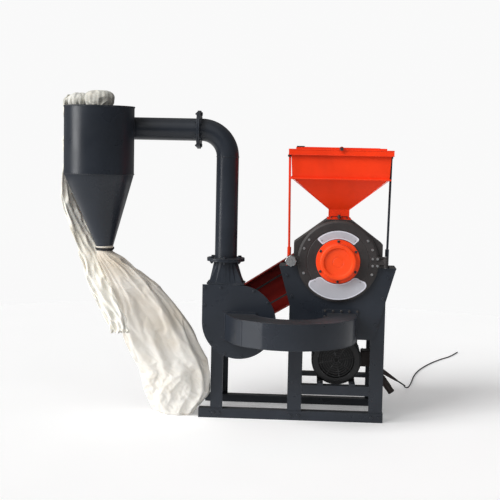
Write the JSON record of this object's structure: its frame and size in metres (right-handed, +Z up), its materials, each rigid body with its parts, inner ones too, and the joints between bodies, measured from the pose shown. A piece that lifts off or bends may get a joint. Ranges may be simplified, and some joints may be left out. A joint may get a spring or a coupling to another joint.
{
  "type": "hammer mill",
  "caption": "Belt-driven hammer mill on a steel stand, with a square hopper, hinged drum door, suction blower, cyclone, filter sock and collecting sack.",
  "frame": {"origin": "on the floor, at the centre of the machine's footprint box without its cable", "axes": "+Z up, -Y towards the operator and the mill's door, +X to the operator's right; mill, motor and blower shafts all run along Y"},
  "size_m": [2.35, 2.5821, 1.6992],
  "materials": {
    "slate_paint": "satin dark slate-grey paint on welded sheet and angle",
    "orange_paint": "satin orange-red paint on folded sheet",
    "cap_orange_paint": "gloss orange paint on a turned casting",
    "cast_iron": "dark painted casting with fine grain",
    "bright_steel": "turned or ground steel",
    "silver_paint": "plain pale silver plate",
    "motor_paint": "near-black motor enamel",
    "belt_rubber": "matt black belt rubber",
    "cable_rubber": "dull black cable sheath",
    "dark_plastic": "dark brown-black moulding",
    "woven_cloth": "off-white plain woven cotton"
  },
  "bodies": {
    "root": {"left_leg_frame": "slate_paint", "middle_leg_frame": "slate_paint", "right_leg_frame": "slate_paint", "bottom_rail_front": "slate_paint", "bottom_rail_rear": "slate_paint", "blower_rail_front": "slate_paint", "blower_rail_rear": "slate_paint", "motor_rail_front": "slate_paint", "motor_rail_rear": "slate_paint", "discharge_hood": "slate_paint", "mill_housing": "cast_iron", "screen": "bright_steel", "door_hinge_pin": "bright_steel", "mill_bearing_pedestal": "cast_iron", "motor_body": "motor_paint", "fan_cowl": "motor_paint", "motor_slide_base": "slate_paint", "terminal_box": "dark_plastic", "cable_gland": "dark_plastic", "power_cable": "cable_rubber", "drive_belt": "belt_rubber", "blower_belt": "belt_rubber", "belt_guard": "orange_paint", "blower_front_plate": "slate_paint", "blower_casing": "slate_paint", "blower_bearing_pedestal": "cast_iron", "suction_duct": "slate_paint", "outlet_transition": "slate_paint", "riser_pipe": "slate_paint", "cyclone": "slate_paint", "hopper": "orange_paint", "lid_hinge_pin": "bright_steel", "hopper_stay_left": "orange_paint", "hopper_stay_right": "slate_paint", "collecting_sack": "woven_cloth", "filter_sock": "woven_cloth"},
    "rotor": {"mill_shaft": "bright_steel", "rotor_discs": "cast_iron", "hammer_pin_1": "bright_steel", "hammer_pin_2": "bright_steel", "hammer_pin_3": "bright_steel", "hammer_pin_4": "bright_steel", "mill_pulley": "cast_iron"},
    "hammer_one": {"hammer_1": "bright_steel"},
    "hammer_two": {"hammer_2": "bright_steel"},
    "hammer_three": {"hammer_3": "bright_steel"},
    "hammer_four": {"hammer_4": "bright_steel"},
    "door": {"mill_door": "cast_iron", "hub_cap": "cap_orange_paint", "blank_plate_upper": "silver_paint", "blank_plate_lower": "silver_paint"},
    "clamp": {"clamp_bolt": "bright_steel"},
    "nut": {"clamp_nut": "bright_steel"},
    "gate": {"feed_gate": "bright_steel"},
    "lid": {"hopper_lid": "orange_paint"},
    "motor_rotor": {"motor_shaft": "bright_steel", "motor_pulley": "cast_iron"},
    "fan": {"blower_shaft": "bright_steel", "impeller": "bright_steel", "blower_pulley": "cast_iron"}
  },
  "joints": [
    {"name": "rotor_spin", "type": "hinge", "parent": "root", "child": "rotor", "pos_m": [0.5465, 0.04, 0.85], "axis": [0, 1, 0], "continuous": true},
    {"name": "hammer_1_swing", "type": "hinge", "parent": "rotor", "child": "hammer_one", "pos_m": [0.62428, 0.04, 0.92778], "axis": [0, 1, 0], "range_deg": [-90, 90]},
    {"name": "hammer_2_swing", "type": "hinge", "parent": "rotor", "child": "hammer_two", "pos_m": [0.46872, 0.04, 0.92778], "axis": [0, 1, 0], "range_deg": [-90, 90]},
    {"name": "hammer_3_swing", "type": "hinge", "parent": "rotor", "child": "hammer_three", "pos_m": [0.46872, 0.04, 0.77222], "axis": [0, 1, 0], "range_deg": [-90, 90]},
    {"name": "hammer_4_swing", "type": "hinge", "parent": "rotor", "child": "hammer_four", "pos_m": [0.62428, 0.04, 0.77222], "axis": [0, 1, 0], "range_deg": [-90, 90]},
    {"name": "door_swing", "type": "hinge", "parent": "root", "child": "door", "pos_m": [0.7925, -0.042, 0.85], "axis": [0, 0, 1], "range_deg": [0, 110]},
    {"name": "clamp_swing", "type": "hinge", "parent": "root", "child": "clamp", "pos_m": [0.3035, -0.015, 0.85], "axis": [0, 0, -1], "range_deg": [0, 90]},
    {"name": "nut_spin", "type": "hinge", "parent": "clamp", "child": "nut", "pos_m": [0.3035, -0.08, 0.85], "axis": [0, 1, 0], "continuous": true},
    {"name": "gate_slide", "type": "slide", "parent": "root", "child": "gate", "axis": [0, -1, 0], "range_m": [0, 0.07]},
    {"name": "lid_swing", "type": "hinge", "parent": "root", "child": "lid", "pos_m": [0.5465, 0.264, 1.429], "axis": [-1, 0, 0], "range_deg": [0, 100]},
    {"name": "motor_spin", "type": "hinge", "parent": "root", "child": "motor_rotor", "pos_m": [0.5545, 0.3, 0.317], "axis": [0, 1, 0], "continuous": true},
    {"name": "blower_spin", "type": "hinge", "parent": "root", "child": "fan", "pos_m": [0.0465, 0.1, 0.535], "axis": [0, 1, 0], "continuous": true}
  ],
  "couplings": [
    {"joint": "motor_spin", "follows": "rotor_spin", "ratio": 0.83333},
    {"joint": "blower_spin", "follows": "rotor_spin", "ratio": 1.1364}
  ]
}
